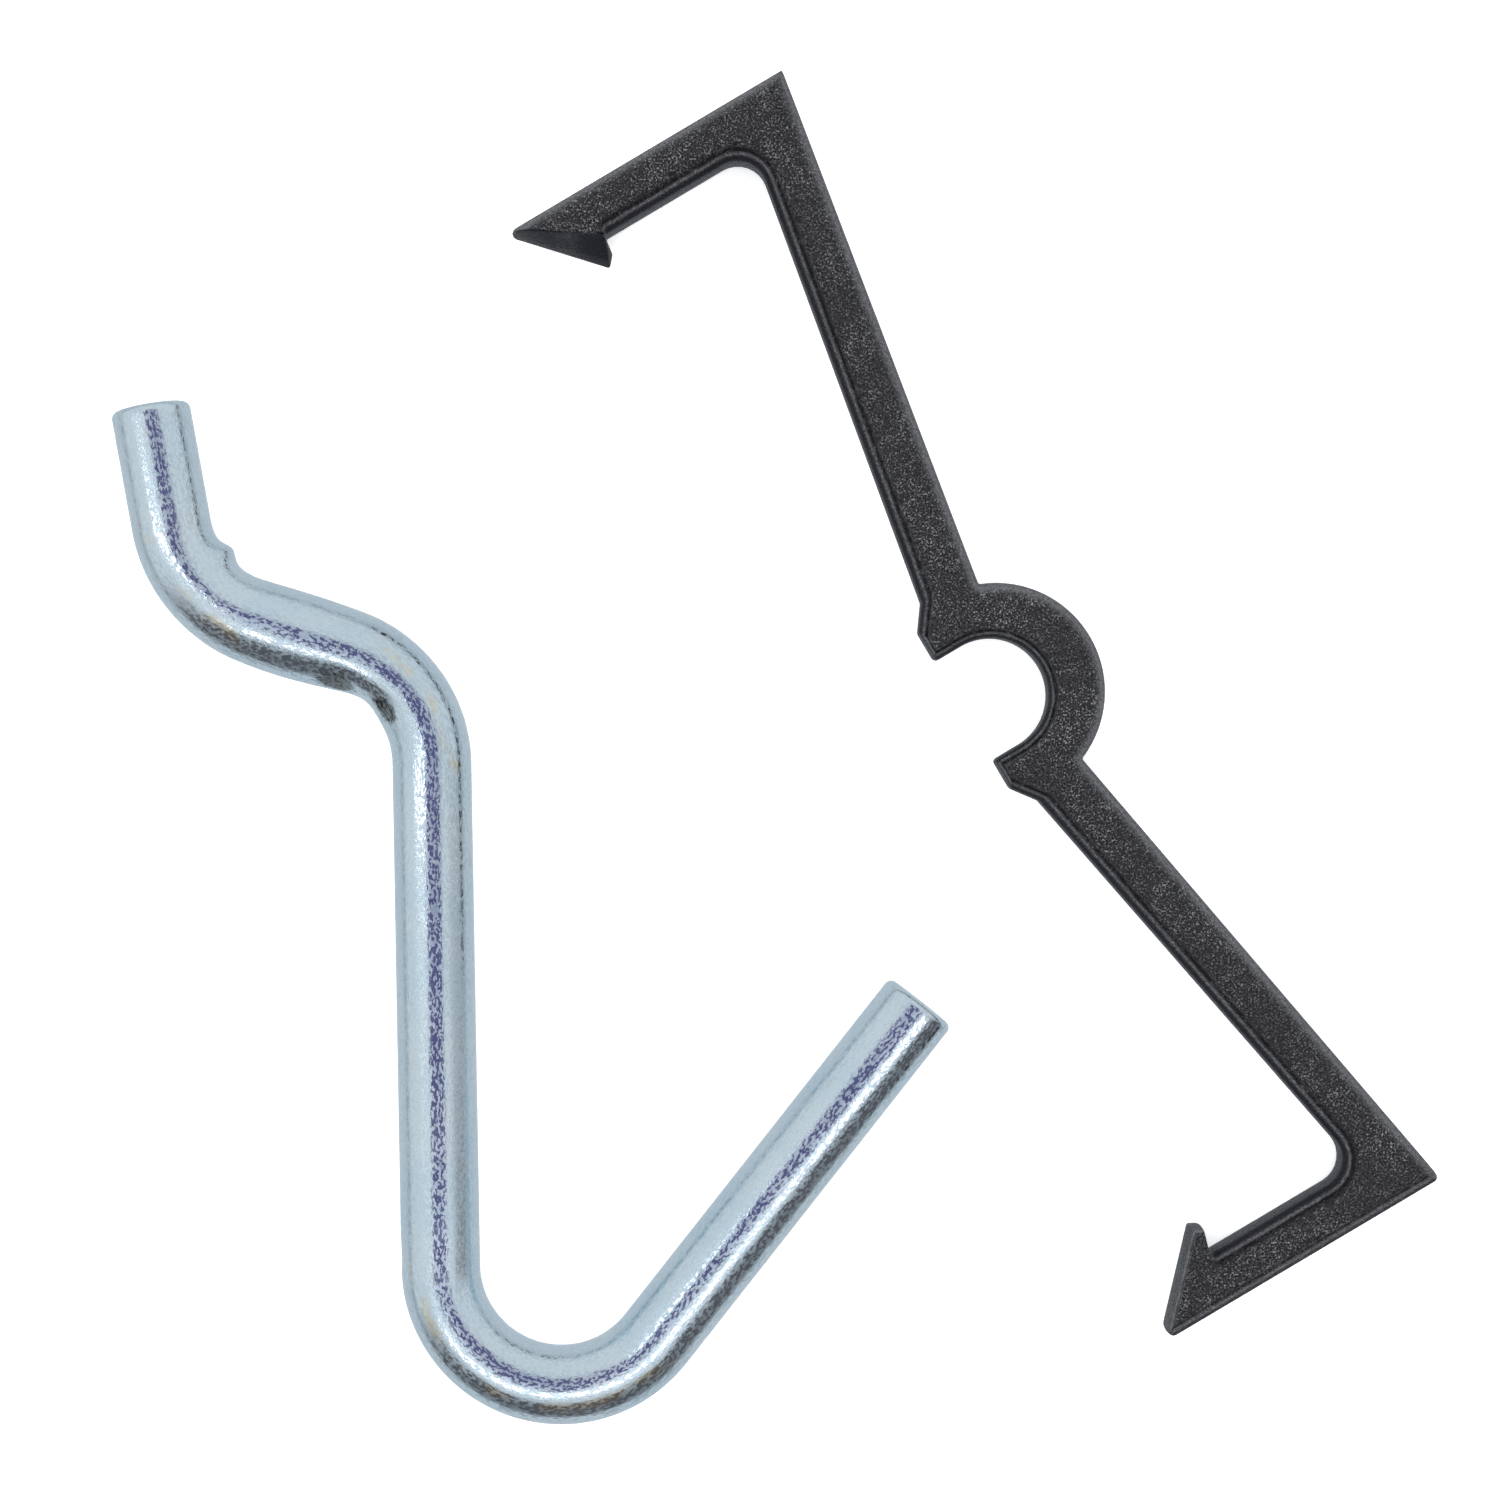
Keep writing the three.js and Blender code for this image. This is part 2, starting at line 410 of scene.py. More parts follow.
# The corners of one half's outline in turn, with the radius that rounds each: below 0 for a hollow.
CORNERS = [
    ("rim", "arm_outer", -0.12),
    ("arm_outer", "leg_outer", 0.3),
    ("leg_outer", "ramp", 0.35),
    ("ramp", "barb_end", 0.1),
    ("barb_end", "barb_under", 0.1),
    ("barb_under", "leg_inner", -0.12),
    ("leg_inner", "arm_inner", -1.25),
    ("arm_inner", "foot_side", -0.2),
    ("foot_side", "foot", 0.3),
    ("foot", "bore_side", 0.2),
]
JOIN_GUESS = np.array([4.3, 1.7])  # where about the arm's outer edge runs into the ring
SMALLEST_RADIUS = 0.05

# The two halves' own shapes. recede pulls the barb back into the leg towards the top.
UPPER_STYLE = {
    "recede": 0.8,
    "nose": (24.25, -5.0),
    "heel": (24.7, -4.6),
    "beading": {**BEADING, "leg_outer": 0.05, "ramp": 0.0},
    "radii": {("arm_outer", "leg_outer"): 0.12, ("leg_outer", "ramp"): 0.2},
}
LOWER_STYLE = {
    "recede": 0.06,
    "nose": (24.05, -4.65),
    "heel": (24.3, -4.15),
    "beading": {**BEADING, "leg_outer": 0.8},
    "radii": {("leg_outer", "ramp"): 0.28},
}

# Places along the clip, from the ring's centre outwards.
ARM_CUT = 5.4  # where the saddle piece ends and an arm piece starts
BENDING_END = 8.0  # an arm bends within this, and has its own even steps up to here
ARM_MIDDLE = 8.4
LEG_CUT = 15.0  # where an arm piece ends and a leg piece starts
ARM_END = 23.4  # the last point before the corner's rounding
CUT_TOLERANCE = 1e-6

ARM_RISE = math.tan(math.radians(ARM_TILT))
OUTER_AT_ZERO = CORNER_HEIGHT - LEG_SPAN * ARM_RISE
LEG_INNER = LEG_SPAN - LEG_WIDTH
LIP_ROUGHNESS = 0.13
LIP_GRAIN = 2.3  # lumps per mm

Band = namedtuple("Band", "levels weight")  # a stretch of wall: its points at each level, its beading


def arm_inner_height(x, width):
    """The height of the arm's inner edge at x, for the arm's width there."""
    return OUTER_AT_ZERO + ARM_RISE * x - width * math.hypot(1, ARM_RISE)


def barb_corners(level, style):
    height = ROUND_EDGE[level][1] / ROUND_EDGE[-1][1]
    pull = style["recede"] * smooth(height, 0.1, 1)
    notch = np.array([LEG_INNER, BARB_NOTCH])
    nose = np.array(style["nose"])
    heel = np.array(style["heel"])
    return nose + pull * (notch - nose), heel + pull * (notch - heel)


def half_edges(level, style):
    """The edges of one half's outline at one level, before they are set in."""
    nose, heel = barb_corners(level, style)
    neck = (NECK, arm_inner_height(NECK, ARM_WIDTH_AT_RING))
    elbow = (LEG_INNER, arm_inner_height(LEG_INNER, ARM_WIDTH_AT_LEG))
    return {
        "rim": Circle((0, 0), RIM_RADIUS, -1),
        "arm_outer": Line((0, OUTER_AT_ZERO), (LEG_SPAN, CORNER_HEIGHT)),
        "leg_outer": Line((LEG_SPAN, CORNER_HEIGHT), (LEG_SPAN, LEG_TIP)),
        "ramp": Line((LEG_SPAN, LEG_TIP), nose),
        "barb_end": Line(nose, heel),
        "barb_under": Line(heel, (LEG_INNER, BARB_NOTCH)),
        "leg_inner": Line((LEG_INNER, BARB_NOTCH), (LEG_INNER, 0)),
        "arm_inner": Line(elbow, neck),
        "foot_side": Line(neck, (FOOT_OUTER, FOOT_HEIGHT)),
        "foot": Line((FOOT_OUTER, FOOT_HEIGHT), (0, FOOT_HEIGHT)),
        "bore_side": Line((BORE_RADIUS, FOOT_HEIGHT), (BORE_RADIUS, 0)),
        "bore": Circle((0, -BORE_DROP), BORE_RADIUS, 1),
    }


def inset_depth(name, level, style):
    share = style["beading"][name]
    depth = (1 - share) * ROUND_EDGE[level][0] + share * BEADED_EDGE[level][0]
    return depth * ROOM[name]


def corner_arcs(edges, depths, style):
    """The rounded corners of an outline that is set in: a corner gets tighter and a hollow wider."""
    arcs = []
    for first, second, radius in CORNERS:
        radius = style["radii"].get((first, second), radius)
        depth = (depths[first] + depths[second]) / 2
        radius = max(radius - depth, SMALLEST_RADIUS) if radius > 0 else radius - depth
        arcs.append(rounded_corner(edges[first], edges[second], JOIN_GUESS, radius, CORNER_POINTS))
    return arcs


def arm_places():
    """Fixed places along the clip, so an arm's two edges share them and the cuts at every level."""
    bending = np.arange(ARM_CUT, BENDING_END, BENDING_STEP)
    middle = np.arange(ARM_MIDDLE, LEG_CUT, ARM_STEP)
    return np.concatenate([bending, middle, np.linspace(LEG_CUT, ARM_END, ARM_END_POINTS)])


def stretch_points(name, start, end):
    """Points between two corners of the outline, on a straight edge."""
    if name == "arm_outer":
        share = (arm_places() - start[0]) / (end[0] - start[0])
    elif name == "arm_inner":
        share = (arm_places()[::-1] - start[0]) / (end[0] - start[0])
    else:
        share = np.linspace(0, 1, STRETCH_COUNTS[name] + 1)[1:-1]
    return start + share[:, None] * (end - start)


def half_outline(level, style):
    """Points of one half at one level, clockwise from the crown of the rim to the crown of the bore,
    and how beaded the edge is at each point."""
    beading = style["beading"]
    plain = half_edges(level, style)
    depths = {name: inset_depth(name, level, style) for name in plain}
    edges = {name: edge.inset(depths[name]) for name, edge in plain.items()}
    arcs = corner_arcs(edges, depths, style)

    join = math.atan2(arcs[0][0][1], arcs[0][0][0])
    rim = edges["rim"].arc(math.pi / 2, join, RIM_POINTS)[:-1]
    points = [rim]
    weights = [np.full(len(rim), beading["rim"])]
    bore_start = np.array([edges["bore_side"].point[0], -BORE_DROP])
    run_ends = [arc[0] for arc in arcs[1:]] + [bore_start]
    for (first, second, _), arc, run_end in zip(CORNERS, arcs, run_ends):
        run = stretch_points(second, arc[-1], run_end)
        points += [arc, run]
        weights.append(np.linspace(beading[first], beading[second], CORNER_POINTS))
        weights.append(np.full(len(run), beading[second]))
    points.append(edges["bore"].arc(0, math.pi / 2, BORE_POINTS))
    weights.append(np.full(BORE_POINTS, beading["bore"]))
    return np.concatenate(points), np.concatenate(weights)


def cut_window(x):
    """0 at the cuts between pieces, where neighbours have to match, and 1 away from them."""
    away = np.minimum(abs(abs(x) - ARM_CUT), abs(abs(x) - LEG_CUT))
    return smooth(away, 0.3, 1.2)


def lip_wobble(outline, level, side):
    """How much each point of a level rises or falls. Only the levels from bead to lip are rough."""
    rough = LIP_ROUGHNESS * smooth(level, 5, 8) * (1 - smooth(level, 11, 13))
    places = [(x * LIP_GRAIN, y * LIP_GRAIN, side * 7.0) for x, y in outline]
    lumps = np.array([noise.noise(Vector(place)) for place in places])
    return rough * lumps * cut_window(outline[:, 0])


def half_band(side, style):
    """The wall of one half in the clip's frame, with its levels from the bottom face up."""
    top = []
    for level, (plain, beaded) in enumerate(zip(ROUND_EDGE, BEADED_EDGE)):
        outline, weight = half_outline(level, style)
        height = (1 - weight) * plain[1] + weight * beaded[1]
        height = height + lip_wobble(outline, level, side)
        height = np.minimum(height, CLIP_THICKNESS / 2)
        top.append(np.column_stack([outline[:, 0] * side, outline[:, 1], height]))
    top = np.array(top)
    bottom = top[:0:-1].copy()
    bottom[:, :, 2] *= -1
    levels = np.concatenate([bottom, top])
    levels[:, :, 2] += CLIP_THICKNESS / 2
    return Band(levels, weight)


def part(band, first, stop):
    return Band(band.levels[:, first:stop], band.weight[first:stop])


def joined(bands):
    levels = np.concatenate([band.levels for band in bands], axis=1)
    return Band(levels, np.concatenate([band.weight for band in bands]))


def clip_frame(joints):
    """Where the clip's own frame lies in the row frame: ring centre, direction along the clip and
    direction away from the board."""
    places = {joint["name"]: np.array(joint["pos_m"]) / MM for joint in joints}
    centre = places["clip_swivel"][:2]
    along = (places["lower_arm_flex"] - places["upper_arm_flex"])[:2]
    along /= np.hypot(*along)
    return centre, along, np.array([-along[1], along[0]])


def to_row(points, place):
    centre, along, away = place
    row = np.array(points, float)
    row[..., :2] = centre + points[..., :1] * along + points[..., 1:2] * away
    return row


def build_piece(name, bands, place):
    """A closed piece of the moulding from bands of its wall, which follow each other clockwise round
    the piece. After each band lies a cut, which gets a flat, sharp-edged cap."""
    wall = joined(bands)
    level_count, count = wall.levels.shape[:2]
    cut_after = set(np.cumsum([len(band.weight) for band in bands]) - 1)
    faces = []
    sharp = []

    def index(level, column):
        return level * count + column % count

    for column in range(count):
        if column in cut_after:
            near = [index(level, column) for level in range(level_count)]
            far = [index(level, column + 1) for level in range(level_count)]
            cap = near + far[::-1]
            faces.append(tuple(cap[::-1]))
            sharp += list(zip(cap, cap[1:] + cap[:1]))
            continue
        for level in range(level_count - 1):
            a = index(level, column)
            b = index(level, column + 1)
            c = index(level + 1, column + 1)
            d = index(level + 1, column)
            faces.append((d, c, b, a))
    faces.append(tuple(index(0, k) for k in range(count)))
    faces.append(tuple(index(level_count - 1, k) for k in range(count))[::-1])
    made = make_object(name, to_row(wall.levels.reshape(-1, 3), place), faces, sharp)
    add_edge_attributes(made, wall)
    return made


def add_edge_attributes(made, band):
    """bead, crevice and wall say how much each vertex belongs to those parts of the edge. The barbs'
    sloping faces count as wall."""
    weight = band.weight[None]
    half = len(band.levels) // 2
    level = np.abs(np.arange(len(band.levels)) - half)[:, None]
    middle = band.levels[half]
    lean = np.hypot(*(band.levels[-1] - middle)[:, :2].T)
    on_barb = smooth(-middle[:, 1], 3, 4) * smooth(LEG_SPAN - np.abs(middle[:, 0]), 0.1, 0.3)
    sloping = smooth(lean, 0.85, 1.05) * on_barb
    spread = 0.8 + 2.2 * (1 - weight)
    # bead marks where the material paints a highlight; crevice and wall mark where it paints shade
    bead = np.exp(-(((level - BEAD_LEVEL) / spread) ** 2)) * (1 - sloping)
    crevice = np.exp(-(((level - CREVICE_LEVEL) / 0.9) ** 2)) * weight
    upright = (1 - smooth(level, 4.4, 5.9)) * (0.1 + 0.9 * weight)
    wall = np.maximum(upright, (1 - smooth(level, 9, 12)) * sloping)
    set_attribute(made, "bead", bead.ravel())
    set_attribute(made, "crevice", crevice.ravel())
    set_attribute(made, "wall", wall.ravel())


def cut_columns(band, x):
    """The first and the last column of a half that lie on a cut."""
    middle = band.levels[len(band.levels) // 2]
    hits = np.flatnonzero(np.abs(np.abs(middle[:, 0]) - x) < CUT_TOLERANCE)
    return int(hits[0]), int(hits[-1])


def build_arm_and_leg(name, band, place):
    """The arm piece between a half's two cuts, and the leg piece beyond them."""
    near_first, near_last = cut_columns(band, ARM_CUT)
    far_first, far_last = cut_columns(band, LEG_CUT)
    arm = [part(band, near_first, far_first + 1), part(band, far_last, near_last + 1)]
    leg = [part(band, far_first, far_last + 1)]
    return {
        name + "_arm_flexure": build_piece(name + "_arm_flexure", arm, place),
        name + "_barbed_leg": build_piece(name + "_barbed_leg", leg, place),
    }


def build_saddle(lower, upper, place):
    """The ring and both feet, clockwise: from the lower cut round the bore to the upper cut, and
    back over the rim."""
    lower_outer, lower_inner = cut_columns(lower, ARM_CUT)
    upper_inner, upper_outer = cut_columns(upper, ARM_CUT)
    inner = joined([part(lower, lower_inner, None), part(upper, 1, upper_inner + 1)])
    outer = joined([part(upper, upper_outer, -1), part(lower, 0, lower_outer + 1)])
    return build_piece("saddle_ring", [inner, outer], place)


def build_clip(joints):
    place = clip_frame(joints)
    lower = half_band(1, LOWER_STYLE)
    mirrored = half_band(-1, UPPER_STYLE)
    upper = Band(mirrored.levels[:, ::-1], mirrored.weight[::-1])
    pieces = build_arm_and_leg("lower", lower, place)
    pieces.update(build_arm_and_leg("upper", upper, place))
    pieces["saddle_ring"] = build_saddle(lower, upper, place)
    return pieces, place


# ---- Node helpers ----


def add_node(tree, kind, inputs=None, **settings):
    node = tree.nodes.new(kind)
    for name, value in settings.items():
        setattr(node, name, value)
    for key, value in (inputs or {}).items():
        if isinstance(value, bpy.types.NodeSocket):
            tree.links.new(value, node.inputs[key])
        else:
            node.inputs[key].default_value = value
    return node


def calculate(tree, operation, first, second):
    return add_node(tree, "ShaderNodeMath", {0: first, 1: second}, operation=operation).outputs[0]


def multiply(tree, first, *others):
    for other in others:
        first = calculate(tree, "MULTIPLY", first, other)
    return first


def add_share(tree, first, second, share):
    """The first value plus a share of the second."""
    return calculate(tree, "ADD", first, multiply(tree, second, share))


def remap(tree, value, low, high, to_low=0.0, to_high=1.0):
    inputs = {"Value": value, "From Min": low, "From Max": high, "To Min": to_low, "To Max": to_high}
    return add_node(tree, "ShaderNodeMapRange", inputs, interpolation_type="SMOOTHSTEP").outputs[0]


def blend_colours(tree, share, first, second):
    """Mixes two colours. A plain colour is three numbers."""
    node = add_node(tree, "ShaderNodeMix", data_type="RGBA")
    for socket, value in ((node.inputs[0], share), (node.inputs[6], first), (node.inputs[7], second)):
        if isinstance(value, bpy.types.NodeSocket):
            tree.links.new(value, socket)
        elif isinstance(value, tuple):
            socket.default_value = (*value, 1)
        else:
            socket.default_value = value
    return node.outputs[2]


def grain(tree, place, scale, detail=2.0, roughness=0.5, distortion=0.0):
    inputs = {"Vector": place, "Scale": scale, "Detail": detail, "Roughness": roughness}
    inputs["Distortion"] = distortion
    return add_node(tree, "ShaderNodeTexNoise", inputs).outputs[0]


def raised(tree, height, distance):
    """A normal for fine relief. The distance is in metres."""
    inputs = {"Height": height, "Distance": distance, "Strength": 1.0}
    return add_node(tree, "ShaderNodeBump", inputs).outputs[0]


def read(tree, name, output="Fac"):
    return add_node(tree, "ShaderNodeAttribute", attribute_name=name).outputs[output]


def new_material(name):
    material = bpy.data.materials.new(name)
    material.use_nodes = True
    material.node_tree.nodes.clear()
    return material, material.node_tree


def finish_material(tree, inputs):
    shader = add_node(tree, "ShaderNodeBsdfPrincipled", inputs)
    add_node(tree, "ShaderNodeOutputMaterial", {"Surface": shader.outputs[0]})


# ---- Materials ----

ZINC_BLUISH = (0.59, 0.705, 0.775)
ZINC_PALE = (0.635, 0.73, 0.785)
ZINC_YELLOWED = (0.72, 0.62, 0.40)
ZINC_SPECK = (0.30, 0.33, 0.42)
ZINC_STAIN = (0.04, 0.034, 0.022)

PLASTIC_PIT = (0.002, 0.002, 0.003)
PLASTIC_SKIN = (0.020, 0.020, 0.023)
# painted glint specks
PLASTIC_GLINT = (0.20, 0.20, 0.205)
# painted highlight on the edge beads
PLASTIC_BEAD_HIGHLIGHT = (0.12, 0.12, 0.128)
# painted shade on the side walls and the barbs' sloping faces
PLASTIC_WALL_SHADE = (0.002, 0.002, 0.006)
# painted shade in the crevices
PLASTIC_CREVICE_SHADE = (0.004, 0.004, 0.005)


def yellow_streak(tree, straight):
    """Patches of a yellow streak on top of the wire, towards the outer side of its bends."""
    outer = read(tree, "outer")
    band = multiply(tree, remap(tree, outer, 0.25, 0.42), remap(tree, outer, 0.62, 0.45))
    patches = remap(tree, grain(tree, straight, 0.8), 0.42, 0.6)
    upward = add_node(tree, "ShaderNodeSeparateXYZ", {0: straight}).outputs[2]
    return multiply(tree, band, patches, remap(tree, upward, 0.9, 1.3), 0.6)


def zinc_colour(tree, straight, peel, fleck):
    tint = remap(tree, grain(tree, straight, 0.35), 0.35, 0.65)
    colour = blend_colours(tree, tint, ZINC_BLUISH, ZINC_PALE)
    colour = blend_colours(tree, yellow_streak(tree, straight), colour, ZINC_YELLOWED)
    speck = multiply(tree, remap(tree, peel, 0.56, 0.68), 0.12)
    colour = blend_colours(tree, speck, colour, ZINC_SPECK)
    stain = remap(tree, add_share(tree, read(tree, "stain"), peel, 0.9), 0.62, 0.95)
    stain = multiply(tree, stain, remap(tree, fleck, 0.0, 1.0, 0.9, 0.6))
    return blend_colours(tree, stain, colour, ZINC_STAIN)


def zinc_material():
    """Bright zinc plate: an orange-peel skin drawn out along the wire, with rough flecks that break up
    what it mirrors, faint tints, and stains at the tool marks."""
    material, tree = new_material("bright_zinc_plate")
    straight = read(tree, "straight", "Vector")
    drawn = add_node(tree, "ShaderNodeMapping", {"Vector": straight, "Scale": (0.5, 1, 1)}).outputs[0]
    peel = grain(tree, drawn, 7.0, 2.0, 0.6)
    ripple = grain(tree, drawn, 1.1, 1.0)
    fleck = remap(tree, grain(tree, drawn, 9.0, 1.0, 0.6), 0.45, 0.57)
    worn = remap(tree, grain(tree, straight, 0.9, 3.0), 0.3, 0.7, 0.10, 0.17)
    finish_material(tree, {
        "Base Color": zinc_colour(tree, straight, peel, fleck),
        "Metallic": 1.0,
        "Roughness": add_share(tree, worn, fleck, 0.28),
        "Normal": raised(tree, add_share(tree, peel, ripple, 0.9), 0.85e-5),
    })
    return material


# The plastic's colour: grain, with painted glints, a painted highlight on the beads and painted shade in
# crevices and on walls.
def plastic_colour(tree, place, fine, coarse):
    wall = read(tree, "wall")
    colour = blend_colours(tree, remap(tree, fine, 0.38, 0.58), PLASTIC_PIT, PLASTIC_SKIN)
    # painted glints: light specks in patches, none on the shaded walls
    speck = remap(tree, add_share(tree, fine, coarse, 0.25), 0.67, 0.80)
    patches = remap(tree, grain(tree, place, 0.35), 0.36, 0.60, 0.45, 1.0)
    speck = multiply(tree, speck, patches, calculate(tree, "SUBTRACT", 1.0, wall))
    colour = blend_colours(tree, speck, colour, PLASTIC_GLINT)
    # painted highlight along the bead, broken up by the grain
    bead = multiply(tree, read(tree, "bead"), remap(tree, fine, 0.35, 0.6, 0.4, 0.95))
    colour = blend_colours(tree, bead, colour, PLASTIC_BEAD_HIGHLIGHT)
    # painted shade on the side walls
    colour = blend_colours(tree, wall, colour, PLASTIC_WALL_SHADE)
    # painted shade in the crevice, broken up in patches
    broken = remap(tree, grain(tree, place, 1.6), 0.36, 0.6, 0.35, 1.0)
    return blend_colours(tree, multiply(tree, read(tree, "crevice"), broken), colour, PLASTIC_CREVICE_SHADE)


def plastic_material():
    """Matte charcoal moulding: pitted grainy skin, painted glint specks, a painted highlight on the
    beads along the edges, and painted shade in the crevices and on the side walls."""
    material, tree = new_material("grained_black_plastic")
    metres = {0: add_node(tree, "ShaderNodeTexCoord").outputs["Object"], "Scale": 1 / MM}
    place = add_node(tree, "ShaderNodeVectorMath", metres, operation="SCALE").outputs[0]
    coarse = grain(tree, place, 2.6, 2.0, 0.6)
    fine = grain(tree, place, 12.5, 2.0, 0.6, 0.4)
    finish_material(tree, {
        "Base Color": plastic_colour(tree, place, fine, coarse),
        "Roughness": remap(tree, fine, 0.35, 0.65, 0.55, 0.36),
        "Specular IOR Level": 0.32,
        "Normal": raised(tree, add_share(tree, fine, coarse, 0.7), 8.0e-5),
    })
    return material


def paper_material():
    """White paper that glows a little, so that it stays white under the pieces."""
    material, tree = new_material("white_paper")
    place = add_node(tree, "ShaderNodeTexCoord").outputs["Object"]
    fibre = remap(tree, grain(tree, place, 900.0), 0.3, 0.7)
    finish_material(tree, {
        "Base Color": blend_colours(tree, fibre, (0.93, 0.93, 0.93), (0.95, 0.95, 0.95)),
        "Roughness": 0.9,
        "Specular IOR Level": 0.0,
        "Emission Color": (1, 1, 1, 1),
        "Emission Strength": 0.42,
    })
    return material


def dark_card_material():
    material, tree = new_material("dark_card")
    finish_material(tree, {"Base Color": (0.058, 0.051, 0.138, 1), "Roughness": 0.8})
    return material


# ---- Studio ----

FOCAL_LENGTH = 85.0
SENSOR_WIDTH = 36.0
PICTURE_WIDTH = 64.8  # what the picture takes in across, at the middle of the clip's thickness
PICTURE_CENTRE = (-1.06, -0.10)
FLOOR_REACH = 1500

ROOM_UPPER = (0.80, 0.83, 0.85)
ROOM_LOWER = (0.66, 0.71, 0.75)
ROOM_HORIZON = (0.25, 0.27, 0.30)
ROOM_FRONT = (0.125, 0.12, 0.13)
FRONT_DIRECTION = (0.25, -0.968, 0)


def add_camera():
    data = bpy.data.cameras.new("camera")
    data.lens = FOCAL_LENGTH
    data.sensor_width = SENSOR_WIDTH
    data.clip_start = 0.005
    camera = bpy.data.objects.new("camera", data)
    height = PICTURE_WIDTH * FOCAL_LENGTH / SENSOR_WIDTH + CLIP_THICKNESS / 2
    camera.location = to_metres((*PICTURE_CENTRE, height))
    bpy.context.scene.collection.objects.link(camera)
    bpy.context.scene.camera = camera
    return height


def add_card(name, corners, material):
    """A flat four-cornered sheet of the studio, which isn't part of the object."""
    card = make_object(name, corners, [(0, 1, 2, 3)])
    card.data.materials.append(material)
    return card


def add_floor():
    reach = FLOOR_REACH
    corners = [(-reach, -reach, 0), (reach, -reach, 0), (reach, reach, 0), (-reach, reach, 0)]
    floor = add_card("floor", corners, paper_material())
    floor.visible_glossy = False  # bright metal shows the room's own low tones in its place


def add_camera_shade(camera_height):
    """A dark card just over the camera, as the camera's own body is: bright metal shows it straight
    above."""
    height = camera_height + 3
    left, right, front, back = -58, 60, -52, 50
    corners = [(left, front, height), (left, back, height), (right, back, height), (right, front, height)]
    card = add_card("camera_shade", corners, dark_card_material())
    card.visible_camera = False
    card.visible_diffuse = False
    card.visible_shadow = False


def add_area_light(name, place, aim, size, radiance, colour=(1, 1, 1)):
    """A flat lamp as bright as a surface of that radiance."""
    data = bpy.data.lights.new(name, "AREA")
    data.shape = "RECTANGLE"
    data.size, data.size_y = to_metres(size)
    data.energy = radiance * math.pi * data.size * data.size_y
    data.color = colour
    lamp = bpy.data.objects.new(name, data)
    lamp.location = to_metres(place)
    lamp.rotation_euler = (Vector(aim) - Vector(place)).to_track_quat("-Z", "Y").to_euler()
    lamp.visible_camera = False
    bpy.context.scene.collection.objects.link(lamp)
    return lamp


def add_lights():
    add_area_light("west_strip", (-92, 0, 160), (-50, 0, 0), (8, 150), 4.5, (0.95, 0.94, 1))
    add_area_light("south_strip", (-15, -94, 160), (-15, -50, 0), (170, 12), 6.0, (0.96, 0.93, 1))
    add_area_light("south_east_strip", (84, -86, 160), (40, -40, 0), (12, 60), 5.0, (0.96, 0.93, 1))
    soft = add_area_light("overhead_softbox", (-20, 60, 600), (0, 0, 0), (1300, 1300), 1.3)
    soft.visible_glossy = False


def build_world():
    """A pale room, darker along the horizon, and dark low down towards the front, where the
    photographer stands."""
    world = bpy.data.worlds.new("pale_room")
    bpy.context.scene.world = world
    world.use_nodes = True
    tree = world.node_tree
    tree.nodes.clear()
    direction = add_node(tree, "ShaderNodeTexCoord").outputs["Generated"]
    rise = add_node(tree, "ShaderNodeSeparateXYZ", {0: direction}).outputs[2]
    facing = {0: direction, 1: FRONT_DIRECTION}
    forward = add_node(tree, "ShaderNodeVectorMath", facing, operation="DOT_PRODUCT").outputs["Value"]
    colour = blend_colours(tree, remap(tree, rise, 0.05, -0.1), ROOM_UPPER, ROOM_LOWER)
    horizon = multiply(tree, remap(tree, rise, -0.28, -0.1), remap(tree, rise, 0.12, -0.02), 0.55)
    colour = blend_colours(tree, horizon, colour, ROOM_HORIZON)
    low = multiply(tree, remap(tree, rise, 0.76, 0.55), remap(tree, rise, -0.24, -0.08))
    front = multiply(tree, low, remap(tree, forward, 0.12, 0.50))
    colour = blend_colours(tree, front, colour, ROOM_FRONT)
    background = add_node(tree, "ShaderNodeBackground", {"Color": colour, "Strength": 1.0})
    add_node(tree, "ShaderNodeOutputWorld", {"Surface": background.outputs[0]})


# ---- Putting the pieces on the frame ----

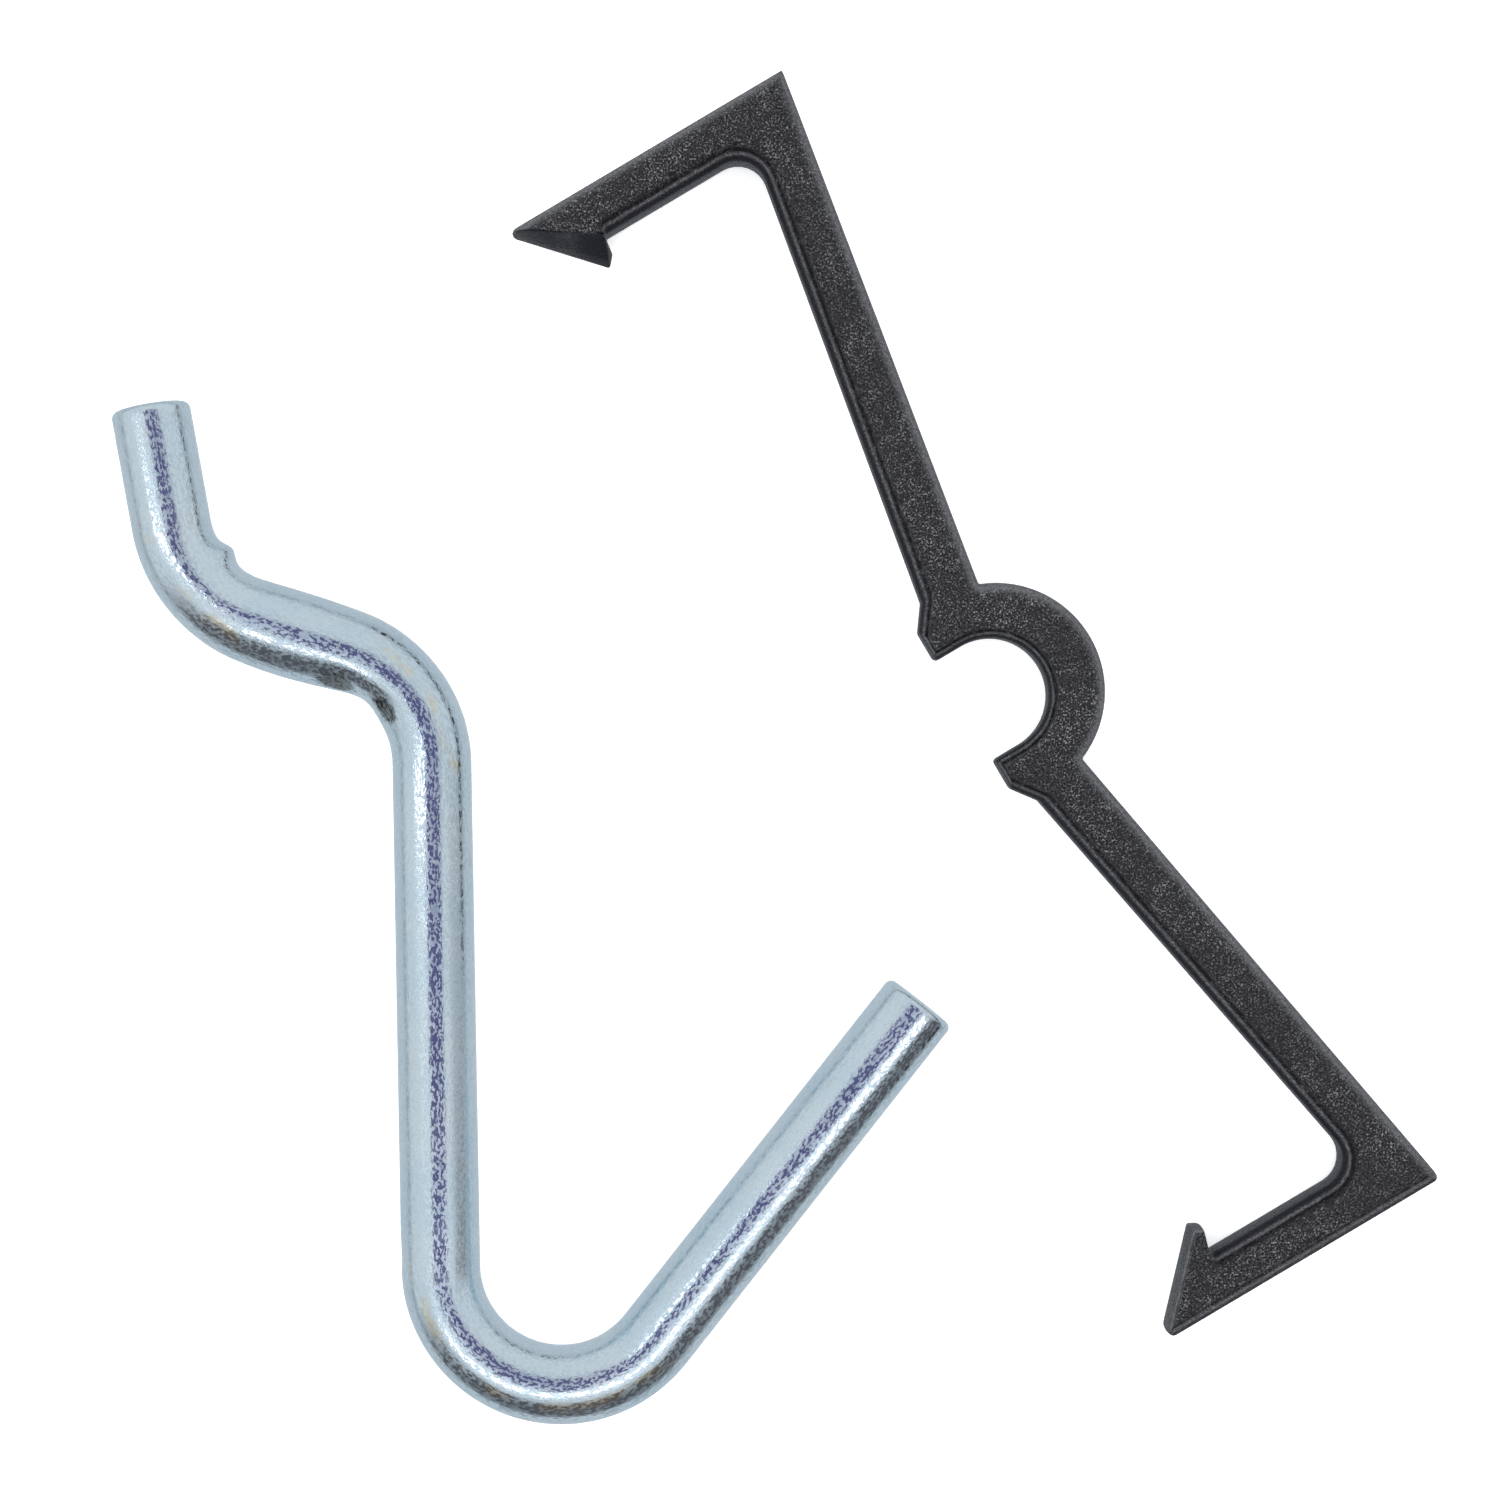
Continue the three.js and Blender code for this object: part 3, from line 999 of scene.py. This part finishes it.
ARM_BEND_LENGTH = 1.5
LEG_BEND_HEIGHT = 0.9
LEG_BEND_REACH = 0.9  # how far a leg's bend goes to each side of that height


def assign(piece, material, nodes):
    piece.data.materials.append(material)
    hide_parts(*nodes)


def attach_hook(hook):
    assign(hook, zinc_material(), ["wire_hook"])
    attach(hook, "hook")


def row_point(place, x, y):
    return tuple(to_metres(to_row(np.array([x, y, CLIP_THICKNESS / 2]), place)))


def attach_clip(pieces, place):
    plastic = plastic_material()
    reach = heading(ARM_TILT - 90) * LEG_BEND_REACH
    root = np.array([LEG_SPAN - LEG_WIDTH / 2, LEG_BEND_HEIGHT])
    before = root - reach
    after = root + reach
    for side, name in ((1, "lower"), (-1, "upper")):
        arm = pieces[name + "_arm_flexure"]
        leg = pieces[name + "_barbed_leg"]
        assign(arm, plastic, [name + "_arm"])
        assign(leg, plastic, [name + "_leg"])
        start = row_point(place, side * ARM_CUT, 0)
        end = row_point(place, side * (ARM_CUT + ARM_BEND_LENGTH), 0)
        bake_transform(arm)
        start = row_point(place, side * before[0], before[1])
        end = row_point(place, side * after[0], after[1])
        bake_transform(leg)
    saddle = pieces["saddle_ring"]
    assign(saddle, plastic, ["saddle"])
    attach(saddle, "clip_saddle")


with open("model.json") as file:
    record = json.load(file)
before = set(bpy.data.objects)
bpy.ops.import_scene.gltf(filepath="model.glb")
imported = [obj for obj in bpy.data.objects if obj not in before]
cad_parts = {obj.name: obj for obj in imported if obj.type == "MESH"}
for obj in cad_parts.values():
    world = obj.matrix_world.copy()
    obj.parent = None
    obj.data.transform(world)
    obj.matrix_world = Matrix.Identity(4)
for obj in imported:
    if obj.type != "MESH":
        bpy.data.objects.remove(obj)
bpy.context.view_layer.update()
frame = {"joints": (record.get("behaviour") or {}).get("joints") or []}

bpy.context.scene.view_settings.view_transform = "Standard"
build_world()
add_lights()
add_floor()
add_camera_shade(add_camera())

attach_hook(build_hook())
clip_pieces, clip_place = build_clip(frame["joints"])
attach_clip(clip_pieces, clip_place)
